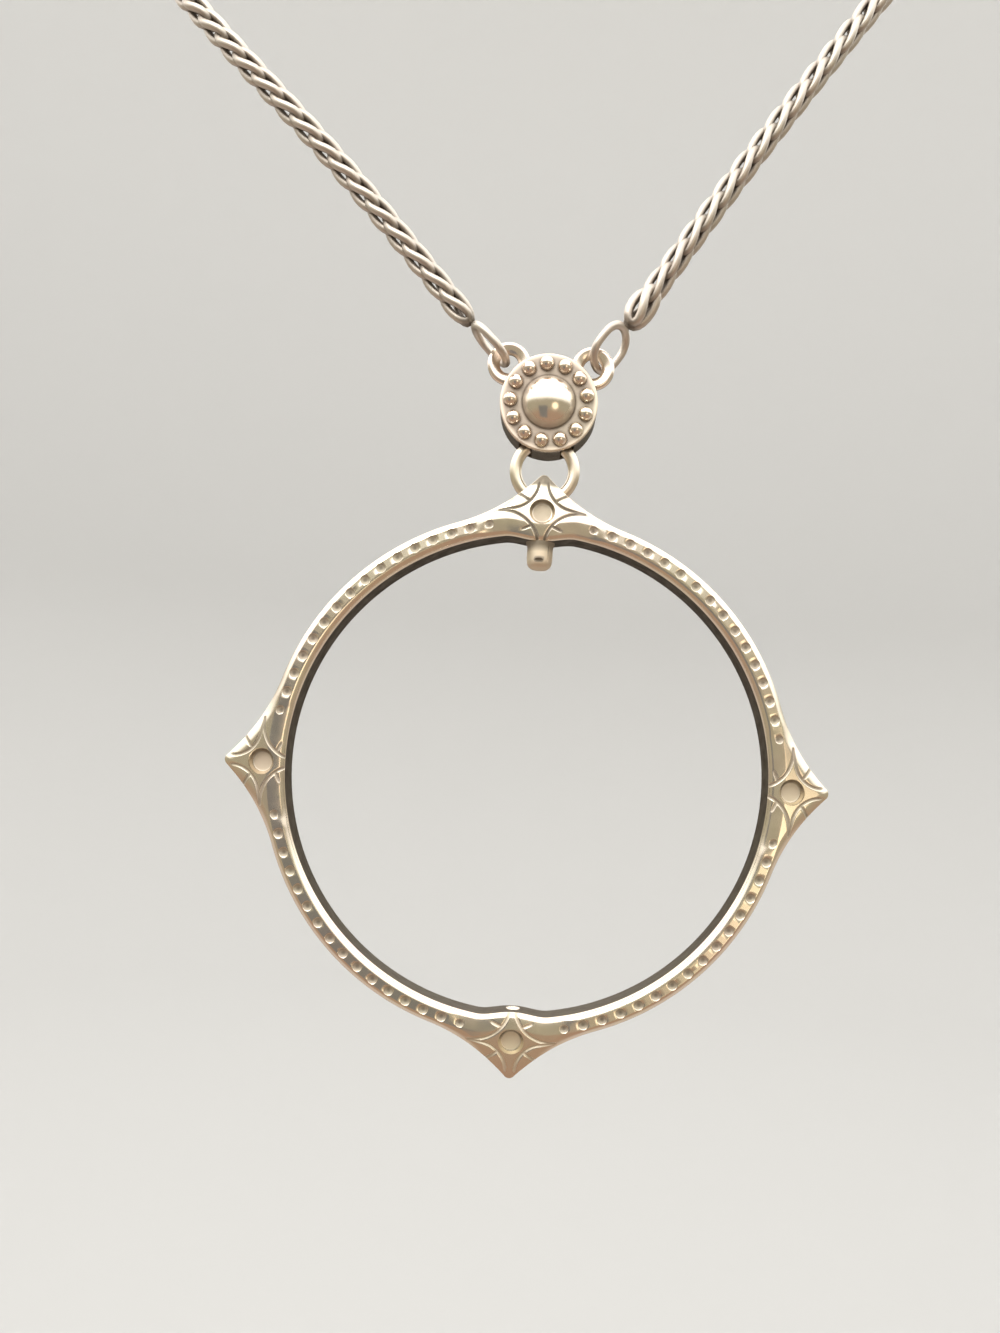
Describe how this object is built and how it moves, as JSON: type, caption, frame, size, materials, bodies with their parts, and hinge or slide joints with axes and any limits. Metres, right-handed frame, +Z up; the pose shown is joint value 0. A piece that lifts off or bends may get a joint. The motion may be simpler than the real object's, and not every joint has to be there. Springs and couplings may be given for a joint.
{
  "type": "open hoop pendant necklace",
  "caption": "Large open hoop with ogee points and engraved stars, hung by a jump ring from a beaded station on a wheat chain with a barrel clasp.",
  "frame": {"origin": "where the clasp's barrel rests on the nape of the neck", "axes": "+Z up, the pendant's front looks along -Y, +X to the right as the front is seen"},
  "size_m": [0.1325, 0.1189, 0.218],
  "materials": {
    "hoop": "polished pale gold, worn soft at the edges",
    "ring": "polished pale gold wire",
    "rosette": "satin pale gold with a polished dome",
    "chain": "polished silvery pale gold",
    "clasp": "polished pale gold"
  },
  "bodies": {
    "necklace": {"rosette": "rosette", "end_link_left": "chain", "end_link_right": "chain", "chain_left": "chain", "chain_right": "chain", "clasp_link_left": "chain", "clasp_link_right": "chain", "clasp": "clasp"},
    "jump_ring": {"jump_ring": "ring"},
    "hoop": {"hoop": "hoop"}
  },
  "joints": [
    {"name": "ring_swing", "type": "hinge", "parent": "necklace", "child": "jump_ring", "pos_m": [0, -0.112, -0.15205], "axis": [1, 0, 0], "range_deg": [-20, 20]},
    {"name": "hoop_swing", "type": "hinge", "parent": "jump_ring", "child": "hoop", "pos_m": [0, -0.112, -0.15795], "axis": [1, 0, 0], "range_deg": [-20, 20]}
  ]
}
